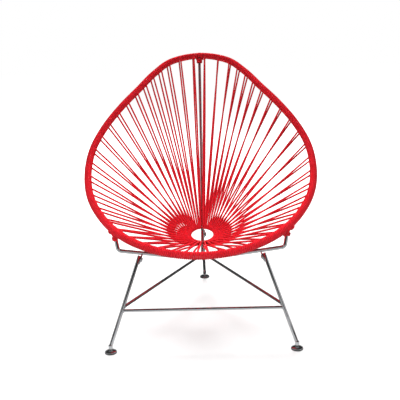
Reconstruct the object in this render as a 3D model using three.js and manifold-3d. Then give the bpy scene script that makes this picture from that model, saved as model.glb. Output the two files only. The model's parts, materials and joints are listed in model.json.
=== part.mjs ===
// Lounge chair with a wound cord seat: a pear-shaped steel rim, a small seat ring hung under it,
// cord wound round the rim and strung from rim to ring and back, and a bolted three-legged base.
// Millimetres, +Z up, the sitter faces -Y. X is the sitter's left-right, 0 on the mirror plane.
// While it is modelled, Y runs from the front of the rim to the back; the group at the end
// moves the whole chair so that the middle of its floor box is the origin.
import * as THREE from 'three';
import { mergeVertices } from 'three/addons/utils/BufferGeometryUtils.js';
import Module from 'manifold-3d';

const wasm = await Module();
wasm.setup();

// Driving dimensions: the seat frame
const rimHalfWidth = 385;
const rimDepth = 913;
const rimFrontHeight = 310;
const rimTopHeight = 876;
const rimRodDiameter = 16;
const cordDiameter = 4.6;
const ringRadius = 48;
const ringRodDiameter = 8;
const ringCentreDepth = 375;
const ringCentreHeight = 266;
const ringTiltDegrees = 21;
const spineDiameter = 12;
const spineBow = 38;
const spineDipHeight = 222;
const ringPostDiameter = 4.4;

// Driving dimensions: the bar across the front of the seat, and the tabs on it
const crossBarDiameter = 12;
const crossBarMiddleHeight = 274;
const crossBarFlatHalf = 60;
const crossBarCornerX = 262;
const crossBarCornerHeight = 300;
const crossBarBendRadius = 14;
const tabThickness = 3;
const tabWidth = 16;
const tabLength = 36;
const boltShankDiameter = 6;
const boltHeadDiameter = 15;
const boltHeadHeight = 4;
const boltReach = 8;
const boltSetback = 20;

// Driving dimensions: the base
const legDiameter = 11;
const stretcherDiameter = 9.5;
const legTopX = 193;
const frontFootX = 289;
const frontFootDepth = 2;
const rearFootDepth = 670;
const rearLegSlopeDegrees = 45.5;
const frontStretcherHeight = 123;
const bossDiameter = 13;
const bossBottom = 14;
const bossHeight = 12;

// Driving dimensions: the swivel glides under the legs
const padDiameter = 38;
const padHeight = 4;
const cupDiameter = 36.6;
const domeHeight = 4.8;
const ballDiameter = 9;
const ballCentreHeight = 8.5;
const neckDiameter = 5;
const stemDepth = 9;

// Driving dimensions: the cord windings
const strandLeavingDegrees = 36;
const clearance = 0.3;

// The rim, from the middle of its front to the middle of its top: shares of the half width,
// of the depth and of the rise from the front to the top
const rimStationShares = [
  [0, 0, 0],
  [0.308, 0.011, 0.021],
  [0.579, 0.059, 0.069],
  [0.79, 0.1555, 0.131],
  [0.94, 0.26, 0.228],
  [1, 0.37, 0.342],
  [0.984, 0.472, 0.466],
  [0.891, 0.563, 0.586],
  [0.752, 0.654, 0.7],
  [0.601, 0.752, 0.8],
  [0.462, 0.858, 0.892],
  [0.285, 0.9585, 0.969],
  [0, 1, 1],
];

// The cord runs from the rim to the seat ring and back in pairs of strands. They start a short
// way from the mirror plane and lie closer together along the front than beside the sitter's head.
const pairsPerSide = 24;
const sectorsPerSide = 6;
const firstPairShare = 0.0161;
const pairCrowdingShare = 0.021;
const pairSpreadShare = 0.014;
const ringMarginShare = 0.0445;
const pairsBehindBar = 18;
const barEndShare = 0.67;
const topLashingTurns = 3;
const barLashingTurns = 3;
const lashingSides = 6;
const rimSides = 8;
const strandSides = 5;
const rodSides = 12;
const turnedSides = 20;
const stationsPerSector = 5;
const ringStations = 36;
const loopSteps = 3;
const ribDepthShare = 0.25;

const rimRod = rimRodDiameter / 2;
const cord = cordDiameter / 2;
const ringRod = ringRodDiameter / 2;
const spine = spineDiameter / 2;
const crossBar = crossBarDiameter / 2;
const leg = legDiameter / 2;
const stretcher = stretcherDiameter / 2;
const X = new THREE.Vector3(1, 0, 0);
const Y = new THREE.Vector3(0, 1, 0);
const Z = new THREE.Vector3(0, 0, 1);
const mirrorPlane = new THREE.Vector3(-1, 1, 1);
const overrun = legDiameter;

const point = (x, y, z) => new THREE.Vector3(x, y, z);
const mix = (a, b, share) => a.clone().lerp(b, share);
const along = (start, direction, distance) => start.clone().addScaledVector(direction, distance);
const heading = (from, to) => to.clone().sub(from).normalize();
const cross = (a, b) => a.clone().cross(b).normalize();
const unit = (v) => v.clone().normalize();

const chrome = new THREE.MeshStandardMaterial({ color: 0xc9ccd1, roughness: 0.16, metalness: 1 });
const redCord = new THREE.MeshStandardMaterial({ color: 0xe02636, roughness: 0.4, metalness: 0 });
const rubber = new THREE.MeshStandardMaterial({ color: 0x17181a, roughness: 0.7, metalness: 0 });

const chair = new THREE.Group();

function add(name, geometry, material, parent = chair) {
  const mesh = new THREE.Mesh(geometry, material);
  mesh.name = name;
  parent.add(mesh);
  return mesh;
}

// A many-sided section square to the tangent, its first corner towards the reference direction
function section(centre, tangent, reference, radius, sides) {
  const across = unit(along(reference, tangent, -reference.dot(tangent)));
  const other = cross(tangent, across);
  const corners = [];
  for (let i = 0; i < sides; i += 1) {
    const angle = (2 * Math.PI * i) / sides;
    const corner = along(centre, across, radius * Math.cos(angle));
    corners.push(corner.addScaledVector(other, radius * Math.sin(angle)));
  }
  return corners;
}

// A skin over sections that follow one another, capped at both ends or closed on itself
function skin(sections, closed) {
  const sides = sections[0].length;
  const positions = sections.flat().flatMap((corner) => corner.toArray());
  const index = [];
  const last = closed ? sections.length : sections.length - 1;
  for (let i = 0; i < last; i += 1) {
    const here = i * sides;
    const next = ((i + 1) % sections.length) * sides;
    for (let j = 0; j < sides; j += 1) {
      const k = (j + 1) % sides;
      index.push(here + j, here + k, next + j);
      index.push(here + k, next + k, next + j);
    }
  }
  if (!closed) {
    const end = (sections.length - 1) * sides;
    for (let j = 1; j < sides - 1; j += 1) {
      index.push(0, j + 1, j);
      index.push(end, end + j, end + j + 1);
    }
  }
  const geometry = new THREE.BufferGeometry();
  geometry.setAttribute('position', new THREE.Float32BufferAttribute(positions, 3));
  geometry.setIndex(index);
  geometry.computeVertexNormals();
  return geometry;
}

// The direction of a route at each of its points, halfway between the stretches that meet there
function tangents(route, closed = false) {
  const count = route.length;
  return route.map((_, i) => {
    const before = closed ? route[(i + count - 1) % count] : route[Math.max(i - 1, 0)];
    const after = closed ? route[(i + 1) % count] : route[Math.min(i + 1, count - 1)];
    return heading(before, after);
  });
}

// A round rod along a route that stays roughly square to the reference direction
function rod(route, reference, radius, sides = rodSides, closed = false) {
  const directions = tangents(route, closed);
  const sections = route.map((p, i) => section(p, directions[i], reference, radius, sides));
  return skin(sections, closed);
}

// A route through corner points, each corner rounded with an arc-like bend
function bentRoute(corners, bendRadius, steps = 5) {
  const route = [corners[0]];
  for (let i = 1; i < corners.length - 1; i += 1) {
    const inward = heading(corners[i], corners[i - 1]);
    const outward = heading(corners[i], corners[i + 1]);
    const half = inward.angleTo(outward) / 2;
    const setback = bendRadius / Math.tan(half);
    const bend = new THREE.QuadraticBezierCurve3(
      along(corners[i], inward, setback),
      corners[i],
      along(corners[i], outward, setback),
    );
    route.push(...bend.getPoints(steps));
  }
  route.push(corners[corners.length - 1]);
  return route;
}

// A mesh with each vertex written once and no flat triangles, as a solid for joins and cuts
function solid(geometry) {
  const bare = geometry.clone();
  bare.deleteAttribute('normal');
  bare.deleteAttribute('uv');
  const merged = mergeVertices(bare);
  const corners = merged.index.array;
  const triangles = [];
  for (let i = 0; i < corners.length; i += 3) {
    const [a, b, c] = [corners[i], corners[i + 1], corners[i + 2]];
    if (a !== b && b !== c && c !== a) triangles.push(a, b, c);
  }
  const mesh = new wasm.Mesh({
    numProp: 3,
    vertProperties: merged.attributes.position.array,
    triVerts: new Uint32Array(triangles),
  });
  return new wasm.Manifold(mesh);
}

function shape(body) {
  const mesh = body.getMesh();
  const geometry = new THREE.BufferGeometry();
  geometry.setAttribute('position', new THREE.Float32BufferAttribute(mesh.vertProperties, 3));
  geometry.setIndex([...mesh.triVerts]);
  geometry.computeVertexNormals();
  return geometry;
}

const joined = (...pieces) => shape(pieces.map(solid).reduce((a, b) => a.add(b)));
const without = (piece, ...tools) => shape(tools.map(solid).reduce((a, b) => a.subtract(b), solid(piece)));

// The same piece on the other side of the mirror plane
function mirrored(geometry) {
  const copy = geometry.clone();
  copy.scale(-1, 1, 1);
  const corners = copy.index.array;
  for (let i = 0; i < corners.length; i += 3) {
    [corners[i], corners[i + 1]] = [corners[i + 1], corners[i]];
  }
  copy.computeVertexNormals();
  return copy;
}

// A turned piece from a profile of [radius, height] points, its axis upright
function turned(profile, sides = turnedSides) {
  const outline = profile.map(([radius, height]) => new THREE.Vector2(radius, height));
  return new THREE.LatheGeometry(outline, sides).rotateX(Math.PI / 2);
}

// A turned piece laid along an axis from a start point
function turnedAlong(profile, start, axis, sides = turnedSides) {
  const turn = new THREE.Quaternion().setFromUnitVectors(Z, axis);
  return turned(profile, sides).applyQuaternion(turn).translate(...start.toArray());
}

const cylinder = (radius, length) => [[0, 0], [radius, 0], [radius, length], [0, length]];

// Rim
const rimRise = rimTopHeight - rimFrontHeight;
const rimStations = rimStationShares.map(([x, y, z]) => (
  point(x * rimHalfWidth, y * rimDepth, rimFrontHeight + z * rimRise)
));
const mirroredStations = rimStations.slice(1, -1).reverse().map((p) => p.clone().multiply(mirrorPlane));
const rimCurve = new THREE.CatmullRomCurve3([...rimStations, ...mirroredStations], true, 'centripetal');
rimCurve.arcLengthDivisions = 960;
const rimLength = rimCurve.getLength();
const halfRim = rimLength / 2;
const rimNormal = unit(point(0, -rimRise, rimDepth));

// A place on the right half of the rim, counted in millimetres from the middle of the top
const rimPoint = (arc) => rimCurve.getPointAt(0.5 - arc / rimLength);
const rimTangent = (arc) => rimCurve.getTangentAt(0.5 - arc / rimLength).negate();

// Where each pair of strands leaves the rim, and where each winding length ends
const firstPairArc = firstPairShare * halfRim;
const pairArcs = Array.from({ length: pairsPerSide }, (_, k) => {
  const share = k / (pairsPerSide - 1);
  const crowding = pairCrowdingShare * Math.sin(Math.PI * share);
  const spread = pairSpreadShare * Math.sin(2 * Math.PI * share);
  return firstPairArc + (share + crowding - spread) * (halfRim - 2 * firstPairArc);
});
const [lastBehindBar, firstBeforeBar] = pairArcs.slice(pairsBehindBar - 1, pairsBehindBar + 1);
const barEndArc = THREE.MathUtils.lerp(lastBehindBar, firstBeforeBar, barEndShare);
const pairsPerSector = pairsPerSide / sectorsPerSide;
const sectorArcs = [0];
for (let k = pairsPerSector; k < pairsPerSide; k += pairsPerSector) {
  sectorArcs.push((pairArcs[k - 1] + pairArcs[k]) / 2);
}
sectorArcs.push(halfRim);

function sectorStations(sector, shorten) {
  const start = sectorArcs[sector] + shorten;
  const end = sectorArcs[sector + 1] - shorten;
  return Array.from({ length: stationsPerSector + 1 }, (_, i) => (
    start + ((end - start) * i) / stationsPerSector
  ));
}

const rightRoute = [];
for (let sector = 0; sector < sectorsPerSide; sector += 1) {
  rightRoute.push(...sectorStations(sector, 0).slice(0, -1).map(rimPoint));
}
rightRoute.push(rimPoint(halfRim));
const leftRoute = rightRoute.slice(1, -1).reverse().map((p) => p.clone().multiply(mirrorPlane));
const rimLoop = [...rightRoute, ...leftRoute];
add('rim_rod', rod(rimLoop, rimNormal, rimRod, rimSides, true), chrome);

// A short stretch of the rim round a place on it, thickened, to cut what ends against it
function rimAround(place, radius) {
  const distances = rimLoop.map((p) => p.distanceTo(place));
  const nearest = distances.indexOf(Math.min(...distances)) + rimLoop.length;
  const route = [-2, -1, 0, 1, 2].map((step) => rimLoop[(nearest + step) % rimLoop.length]);
  return rod(route, rimNormal, radius / Math.cos(Math.PI / rodSides));
}

// Seat ring: a small tilted hoop that the strands are drawn down to
const ringTilt = THREE.MathUtils.degToRad(ringTiltDegrees);
const ringCentre = point(0, ringCentreDepth, ringCentreHeight);
const ringBack = point(0, Math.cos(ringTilt), Math.sin(ringTilt));
const ringUp = cross(X, ringBack);

// Angles on the ring are counted from its back, over its right side, to its front
function ringOut(angle) {
  return X.clone().multiplyScalar(Math.sin(angle)).addScaledVector(ringBack, Math.cos(angle));
}
const ringPoint = (angle) => along(ringCentre, ringOut(angle), ringRadius);
const ringRoute = Array.from({ length: ringStations }, (_, i) => (
  ringPoint((2 * Math.PI * i) / ringStations)
));
add('seat_ring', rod(ringRoute, ringUp, ringRod, rimSides, true), chrome);

const barEndRim = rimPoint(barEndArc);
const crossBarDepth = barEndRim.y;

// Spine: from the middle of the top, down behind the strands, under the ring, to the cross bar
const loopStep = Math.PI / loopSteps;
const ringWinding = (ringRod + clearance + cord) / Math.cos(loopStep / 2);
const ringToSpine = ringWinding + cord + clearance + spine + cord;
const rimTop = rimPoint(0);
const ringRear = ringPoint(0);
const ringFront = ringPoint(Math.PI);
const spineRear = along(ringRear, ringUp, -ringToSpine);
const spineFront = along(ringFront, ringUp, -ringToSpine);
const backLine = heading(rimTop, ringRear);
const backOut = cross(X, backLine);
const spineMiddle = along(mix(rimTop, ringRear, 0.5), backOut, spineBow);
const spineUpper = along(mix(rimTop, ringRear, 0.2), backOut, spineBow * 0.62);
const spineLower = along(mix(rimTop, ringRear, 0.85), backOut, spineBow * 0.8);
const spineDip = point(0, mix(ringFront, point(0, crossBarDepth, 0), 0.3).y, spineDipHeight);
const spineTopDirection = heading(rimTop, spineUpper);
const barMiddle = point(0, crossBarDepth, crossBarMiddleHeight);
const spineEnd = along(barMiddle, heading(barMiddle, spineDip), crossBar + clearance);
const spineCurve = new THREE.CatmullRomCurve3(
  [rimTop, spineUpper, spineMiddle, spineLower, spineRear, spineFront, spineDip, spineEnd],
  false,
  'centripetal',
);
const spineRoute = spineCurve.getSpacedPoints(40);
const spineRod = without(rod(spineRoute, X, spine), rimAround(rimTop, rimRod + clearance));

// Two short posts carry the ring on the spine, each between two turns of cord
const postLength = ringToSpine - ringRod - clearance;
const post = (foot) => turnedAlong(cylinder(ringPostDiameter / 2, postLength), foot, ringUp, rimSides);
add('spine_rod', joined(spineRod, post(spineRear), post(spineFront)), chrome);

// Cross bar: under the front of the seat, both ends turned up to the rim
const barCorner = point(crossBarCornerX, crossBarDepth, crossBarCornerHeight);
const barEndDirection = heading(barEndRim, barCorner);
const barFlat = point(crossBarFlatHalf, crossBarDepth, crossBarMiddleHeight);
const flip = (p) => p.clone().multiply(mirrorPlane);
const barCorners = [flip(barEndRim), flip(barCorner), flip(barFlat), barFlat, barCorner, barEndRim];
const barRoute = bentRoute(barCorners, crossBarBendRadius);
const rimClearOfBar = rimAround(barEndRim, rimRod + clearance);
add('cross_bar', without(rod(barRoute, Y, crossBar), rimClearOfBar, mirrored(rimClearOfBar)), chrome);

// Legs: each is a straight rod from under the seat frame to an upright boss over its glide
const barSlope = (crossBarCornerHeight - crossBarMiddleHeight) / (crossBarCornerX - crossBarFlatHalf);
const legTopHeight = crossBarMiddleHeight + (legTopX - crossBarFlatHalf) * barSlope;
const legMeetsBoss = bossBottom + bossHeight / 2;
const legEndGap = crossBar + clearance + leg / 2;

function legRod(top, foot, reference) {
  return rod([top, foot], reference, leg);
}

function boss(foot) {
  return turned(cylinder(bossDiameter / 2, bossHeight)).translate(foot.x, foot.y, bossBottom);
}

function stemHole(foot) {
  const hole = turned(cylinder(neckDiameter / 2 + clearance, stemDepth + overrun), rodSides);
  return hole.translate(foot.x, foot.y, bossBottom - overrun);
}

// A tab is welded to the bar above and bolted to the side of the leg. Its length runs down the
// leg, its thickness runs along the bolt, and its lower end is round.
function tabPlate(centre, legDown, boltAxis) {
  const half = tabWidth / 2;
  const straight = tabLength - half;
  const outline = new THREE.Shape();
  outline.moveTo(0, -half);
  outline.lineTo(straight, -half);
  outline.absarc(straight, 0, half, -Math.PI / 2, Math.PI / 2, false);
  outline.lineTo(0, half);
  outline.closePath();
  const hole = new THREE.Path();
  hole.absarc(boltSetback, 0, boltShankDiameter / 2 + clearance, 0, 2 * Math.PI, true);
  outline.holes.push(hole);
  const plate = new THREE.ExtrudeGeometry(outline, {
    depth: tabThickness, bevelEnabled: false, curveSegments: rodSides / 2,
  });
  const across = cross(boltAxis, legDown);
  const placed = new THREE.Matrix4().makeBasis(legDown, across, boltAxis).setPosition(centre);
  return plate.applyMatrix4(placed);
}

// A bolt with a low domed head, from the head's seat into the leg
function bolt(seat, intoLeg, grip) {
  const shank = boltShankDiameter / 2;
  const head = boltHeadDiameter / 2;
  const length = grip + boltReach;
  const profile = [
    [0, -length], [shank, -length], [shank, 0], [head, 0], [head, boltHeadHeight * 0.45],
    [head * 0.72, boltHeadHeight * 0.85], [head * 0.3, boltHeadHeight], [0, boltHeadHeight],
  ];
  return turnedAlong(profile, seat, intoLeg.clone().negate(), rodSides);
}

function boltHole(seat, intoLeg, depth) {
  return turnedAlong(cylinder(boltShankDiameter / 2 + clearance, depth), seat, intoLeg, rodSides);
}

function swivelGlide(side, foot) {
  const pad = padDiameter / 2;
  const cup = cupDiameter / 2;
  const ball = ballDiameter / 2;
  const neck = neckDiameter / 2;
  const socket = ball + clearance;
  const recess = cup * 0.42;
  const wall = padHeight * 0.36;
  const cupBottom = ballCentreHeight - socket - wall;
  const seat = padHeight + clearance;
  const lip = socket * 0.42;
  const group = new THREE.Group();
  group.position.set(foot.x, foot.y, 0);
  chair.add(group);

  add(`glide_pad_${side}`, turned([
    [0, 0], [pad * 0.94, 0], [pad, padHeight * 0.25], [pad, padHeight * 0.8], [pad * 0.97, padHeight],
    [recess + clearance, padHeight], [recess + clearance, cupBottom - clearance],
    [0, cupBottom - clearance],
  ]), rubber, group);

  const socketArc = [];
  for (let i = 0; i <= 5; i += 1) {
    const angle = Math.asin(lip / socket) - (i / 5) * (Math.asin(lip / socket) + Math.PI / 2);
    socketArc.push([i === 5 ? 0 : socket * Math.cos(angle), ballCentreHeight + socket * Math.sin(angle)]);
  }
  const mouth = socketArc[0][0];
  add(`glide_cup_${side}`, turned([
    [0, cupBottom], [recess, cupBottom], [recess, seat], [cup, seat], [cup, seat + domeHeight * 0.22],
    [cup * 0.86, seat + domeHeight * 0.55], [cup * 0.62, seat + domeHeight * 0.88],
    [mouth + wall, seat + domeHeight], [mouth + wall * 0.8, ballCentreHeight + lip], ...socketArc,
  ]), chrome, group);

  const ballArc = [];
  const neckAngle = Math.acos(neck / ball);
  for (let i = 0; i <= 5; i += 1) {
    const angle = -Math.PI / 2 + (i / 5) * (neckAngle + Math.PI / 2);
    ballArc.push([i === 0 ? 0 : ball * Math.cos(angle), ballCentreHeight + ball * Math.sin(angle)]);
  }
  const stemTop = bossBottom + stemDepth - clearance;
  add(`glide_stud_${side}`, turned([...ballArc, [neck, stemTop], [0, stemTop]], rodSides), chrome, group);
}

// The base: leg axes, then stretchers cut back to the legs they are welded to
const frontFoot = (sideSign) => point(sideSign * frontFootX, frontFootDepth, legMeetsBoss);
const frontLegAnchor = (sideSign) => point(sideSign * legTopX, crossBarDepth, legTopHeight);
const rearFoot = point(0, rearFootDepth, legMeetsBoss);
const rearSlope = THREE.MathUtils.degToRad(rearLegSlopeDegrees);
const rearLegUp = point(0, -Math.sin(rearSlope), Math.cos(rearSlope));

// Where the rear leg's axis meets the spine
function spineMeets(foot, direction) {
  const square = cross(X, direction);
  let best = spineRoute[0];
  let least = Infinity;
  for (const p of spineCurve.getSpacedPoints(800)) {
    const offset = Math.abs(p.clone().sub(foot).dot(square));
    if (p.y > ringCentreDepth && offset < least) {
      least = offset;
      best = p;
    }
  }
  return best;
}
const rearLegAnchor = spineMeets(rearFoot, rearLegUp);

const sideSigns = { left: -1, right: 1 };
for (const [side, sign] of Object.entries(sideSigns)) {
  const foot = frontFoot(sign);
  const anchor = frontLegAnchor(sign);
  const down = heading(anchor, foot);
  const inward = unit(along(X.clone().multiplyScalar(-sign), down, sign * down.x));
  const top = along(anchor, down, legEndGap);
  const tabBase = along(anchor, inward, leg + clearance);
  const seat = along(along(tabBase, inward, tabThickness + clearance), down, boltSetback);
  const outward = inward.clone().negate();
  const grip = tabThickness + 2 * clearance;
  const body = joined(legRod(top, foot, Y), boss(foot));
  const holes = [stemHole(foot), boltHole(seat, outward, grip + boltReach + clearance)];
  add(`front_leg_${side}`, without(body, ...holes), chrome);
  const barClear = rod(barRoute, Y, crossBar + clearance);
  add(`leg_tab_${side}`, without(tabPlate(tabBase, down, inward), barClear), chrome);
  add(`leg_bolt_${side}`, bolt(seat, outward, grip), chrome);
  swivelGlide(side, foot);
}

const rearDown = rearLegUp.clone().negate();
const rearTop = along(rearLegAnchor, rearDown, spine + clearance + leg);
const rearTabBase = along(rearLegAnchor, X, spine + clearance);
const rearSeat = along(along(rearTabBase, X, tabThickness + clearance), rearDown, boltSetback);
const rearGrip = tabThickness + 2 * clearance + spine - leg;
const rearBody = joined(legRod(rearTop, rearFoot, X), boss(rearFoot));
const intoRear = X.clone().negate();
const rearBoltHole = boltHole(rearSeat, intoRear, rearGrip + boltReach + clearance);
add('rear_leg', without(rearBody, stemHole(rearFoot), rearBoltHole), chrome);
add('leg_tab_rear', tabPlate(rearTabBase, rearDown, X), chrome);
add('leg_bolt_rear', bolt(rearSeat, intoRear, rearGrip), chrome);
swivelGlide('rear', rearFoot);

// A place on a leg's axis at a height
function atHeight(anchor, foot, height) {
  return mix(foot, anchor, (height - foot.z) / (anchor.z - foot.z));
}
const legClear = (anchor, foot) => rod([anchor, foot], Y, leg + clearance);
const leftAnchor = frontLegAnchor(-1);
const rightAnchor = frontLegAnchor(1);
const leftClear = legClear(leftAnchor, frontFoot(-1));
const rightClear = legClear(rightAnchor, frontFoot(1));
const rearClear = rod([rearLegAnchor, rearFoot], X, leg + clearance);
const frontEnds = [
  atHeight(leftAnchor, frontFoot(-1), frontStretcherHeight),
  atHeight(rightAnchor, frontFoot(1), frontStretcherHeight),
];
add('front_stretcher', without(rod(frontEnds, Y, stretcher), leftClear, rightClear), chrome);

const sideHeight = frontStretcherHeight + stretcherDiameter + clearance;
const rearEnd = atHeight(rearLegAnchor, rearFoot, sideHeight);
for (const [side, sign] of Object.entries(sideSigns)) {
  const start = atHeight(frontLegAnchor(sign), frontFoot(sign), sideHeight);
  const end = along(rearEnd, X, sign * (stretcher + cord));
  const ownClear = sign < 0 ? leftClear : rightClear;
  add(`side_stretcher_${side}`, without(rod([start, end], Z, stretcher), ownClear, rearClear), chrome);
}

// Cord: windings on the rim, strands to the seat ring, and a loop round the ring for each pair
const windingOuter = (rimRod + clearance) / Math.cos(Math.PI / rimSides) + cordDiameter;
const boreRadius = rimRod + clearance / Math.cos(Math.PI / rimSides);
const ribDepth = ribDepthShare * cordDiameter;

// An open-ended sleeve of ribs along a stretch of the rim
function rimSleeve(sector) {
  const arcs = sectorStations(sector, clearance / 2);
  const outer = [];
  const bore = [];
  const ring = (arc, radius) => section(rimPoint(arc), rimTangent(arc), rimNormal, radius, rimSides);
  arcs.forEach((arc, i) => {
    outer.push(ring(arc, windingOuter - ribDepth));
    if (i < arcs.length - 1) outer.push(ring((arc + arcs[i + 1]) / 2, windingOuter));
    bore.push(ring(arc, boreRadius));
  });
  return skin([...outer, ...bore.reverse()], true);
}

// One pair: down the upper side of the seat, round the ring from above, back along the under side
const strandLeaving = THREE.MathUtils.degToRad(strandLeavingDegrees);
const leavingHeight = (windingOuter - cord) * Math.cos(strandLeaving);
const leavingReach = (windingOuter - cord) * Math.sin(strandLeaving);
const ringStep = (Math.PI * (1 - 2 * ringMarginShare)) / (pairsPerSide - 1);
function pairRoute(k) {
  const arc = pairArcs[k];
  const angle = Math.PI * ringMarginShare + k * ringStep;
  const onRim = rimPoint(arc);
  const onRing = ringPoint(angle);
  const inward = heading(onRim, onRing);
  const upwards = (v) => (v.z < 0 ? v.negate() : v);
  const rimUp = upwards(cross(rimTangent(arc), inward));
  const ringTangent = cross(ringUp, ringOut(angle));
  const loopIn = unit(along(inward, ringTangent, -inward.dot(ringTangent)));
  const loopUp = upwards(cross(ringTangent, loopIn));
  const upperRim = along(along(onRim, rimUp, leavingHeight), inward, leavingReach);
  const lowerRim = along(along(onRim, rimUp, -leavingHeight), inward, leavingReach);
  const route = [upperRim];
  for (let i = 0; i <= loopSteps; i += 1) {
    const turn = i * loopStep;
    const place = along(onRing, loopUp, ringWinding * Math.cos(turn));
    place.addScaledVector(loopIn, ringWinding * Math.sin(turn));
    const slide = (0.5 - i / loopSteps) * 0.5 * ringStep * ringRadius;
    route.push(place.addScaledVector(ringTangent, slide));
  }
  route.push(lowerRim);
  return { route, ringTangent };
}
const pairs = Array.from({ length: pairsPerSide }, (_, k) => pairRoute(k));

// Holes in the windings for the ends of the bar and of the spine, and the lashings round those ends
const spineClear = rod([rimTop, along(rimTop, spineTopDirection, 3 * rimRodDiameter)], X, spine + clearance);
const barClear = rod([barEndRim, along(barEndRim, barEndDirection, 3 * rimRodDiameter)], Y, crossBar + clearance);

const lashingPitch = cordDiameter + clearance;

function lashing(start, direction, reference, rodRadius, first, turns) {
  const outer = [];
  const bore = [];
  const bareRadius = (rodRadius + clearance) / Math.cos(Math.PI / lashingSides);
  const ring = (distance, radius) => (
    section(along(start, direction, distance), direction, reference, radius, lashingSides)
  );
  for (let i = 0; i <= turns; i += 1) {
    const distance = first + lashingPitch * i;
    outer.push(ring(distance, bareRadius + cordDiameter - ribDepth));
    const middle = distance + lashingPitch / 2;
    if (i < turns) outer.push(ring(middle, bareRadius + cordDiameter));
  }
  bore.push(ring(first + turns * lashingPitch, bareRadius), ring(first, bareRadius));
  return skin([...outer, ...bore], true);
}

for (let sector = 0; sector < sectorsPerSide; sector += 1) {
  const strands = [];
  for (let k = sector * pairsPerSector; k < (sector + 1) * pairsPerSector; k += 1) {
    strands.push(rod(pairs[k].route, pairs[k].ringTangent, cord, strandSides));
  }
  const woven = joined(rimSleeve(sector), ...strands);
  const right = without(woven, spineClear, barClear);
  add(`seat_cord_right_${sector + 1}`, right, redCord);
  add(`seat_cord_left_${sector + 1}`, mirrored(right), redCord);
}

const windingClear = windingOuter + 2 * clearance;
const topLashing = lashing(rimTop, spineTopDirection, X, spine, windingClear, topLashingTurns);
add('cord_lashing_top', topLashing, redCord);
const insideWinding = windingOuter - cord;
const sideLashing = lashing(barEndRim, barEndDirection, Y, crossBar, insideWinding, barLashingTurns);
const barLashing = without(sideLashing, rimAround(barEndRim, windingClear));
add('cord_lashing_right', barLashing, redCord);
add('cord_lashing_left', mirrored(barLashing), redCord);

// The least gap between neighbouring turns of cord, where they crowd on the ring
function leastCordGap() {
  let least = Infinity;
  for (let k = 1; k < pairsPerSide; k += 1) {
    for (const here of pairs[k].route.slice(1, -1)) {
      for (const there of pairs[k - 1].route.slice(1, -1)) {
        least = Math.min(least, here.distanceTo(there) - cordDiameter);
      }
    }
  }
  return least;
}
console.log(`least gap between turns of cord: ${leastCordGap().toFixed(2)} mm`);

const floorBox = new THREE.Box3().setFromObject(chair);
const middle = floorBox.getCenter(new THREE.Vector3());
chair.position.set(0, -middle.y, 0);

export default chair;
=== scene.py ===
"""Lounge chair with a wound cord seat: red cord over a pear-shaped rim, chromed rods, tilting glides.

Metres, +Z up, the sitter faces -Y, X = 0 is the mirror plane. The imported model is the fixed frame:
every place below is measured on it or worked out from the chair's few driving dimensions.
"""

import json
import math

import bpy
import numpy as np
from mathutils import Matrix, Vector


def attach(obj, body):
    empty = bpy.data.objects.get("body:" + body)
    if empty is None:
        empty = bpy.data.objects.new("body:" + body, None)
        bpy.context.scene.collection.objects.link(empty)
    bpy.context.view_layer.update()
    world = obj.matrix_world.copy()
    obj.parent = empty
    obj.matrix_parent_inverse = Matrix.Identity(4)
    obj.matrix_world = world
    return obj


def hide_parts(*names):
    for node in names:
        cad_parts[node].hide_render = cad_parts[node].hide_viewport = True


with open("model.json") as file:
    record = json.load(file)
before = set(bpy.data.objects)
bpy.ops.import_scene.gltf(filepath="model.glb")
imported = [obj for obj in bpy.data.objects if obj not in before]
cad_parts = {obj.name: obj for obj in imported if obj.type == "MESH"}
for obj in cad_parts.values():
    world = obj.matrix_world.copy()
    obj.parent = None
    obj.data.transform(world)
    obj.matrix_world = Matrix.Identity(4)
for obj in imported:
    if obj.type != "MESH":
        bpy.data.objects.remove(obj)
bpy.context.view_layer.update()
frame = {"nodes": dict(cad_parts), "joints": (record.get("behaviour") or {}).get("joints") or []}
SIDES = ("left", "right", "rear")
SIDE_SIGN = {"left": -1, "right": 1}

# Driving dimensions of the seat frame. A round piece is given by its radius, here and below
RIM_ROD = 0.008
WINDING = 0.0129
CORD = 0.00315
WOUND_CORD = 0.0028
RING_CORD = 0.00265
SOLID_CORD = 0.0023
CLEARANCE = 0.0003
RING_RADIUS = 0.048
RING_ROD = 0.004
RING_TILT = math.radians(21)
SPINE = 0.006
BAR = 0.006
BAR_FLAT_HALF = 0.060
BAR_CORNER_X = 0.262
BAR_CORNER_RISE = 0.026
BAR_BEND_RADIUS = 0.014
RING_POST = 0.0022
WELD_BEAD = 0.0012

# Driving dimensions of the base
LEG = 0.0055
LEG_TOP_X = 0.193
REAR_LEG_SLOPE = math.radians(45.5)
LEG_END_GAP = BAR + CLEARANCE + LEG / 2
STRETCHER = 0.00475
FRONT_STRETCHER_HEIGHT = 0.123
BOSS = 0.0065
BOSS_BOTTOM = 0.014
BOSS_HEIGHT = 0.012
TAB_THICKNESS = 0.003
TAB_WIDTH = 0.016
TAB_LENGTH = 0.036
BOLT_SHANK = 0.003
BOLT_HEAD = 0.0075
BOLT_HEAD_HEIGHT = 0.004
BOLT_SETBACK = 0.020
BOLT_REACH = 0.008
BOLT_TIP_SHARE = 0.8
BOLT_CHAMFER_SHARE = 0.2
BOLT_SOCKET_SHARE = 0.36
BOLT_SOCKET_DEPTH_SHARE = 0.6
BOLT_HEAD_SHARES = ((0.97, 0), (1, 0.12), (0.97, 0.45), (0.86, 0.75), (0.66, 0.93), (0.45, 1))
LEG_EASE_SHARE = 0.18
BOSS_EASE_SHARE = 0.14
BOSS_CAP_SHARE = 0.5
TAB_EASE_SHARE = 0.16
TAB_START_SHARE = 0.6
ROD_INSIDE_SHARE = 0.6

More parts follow.
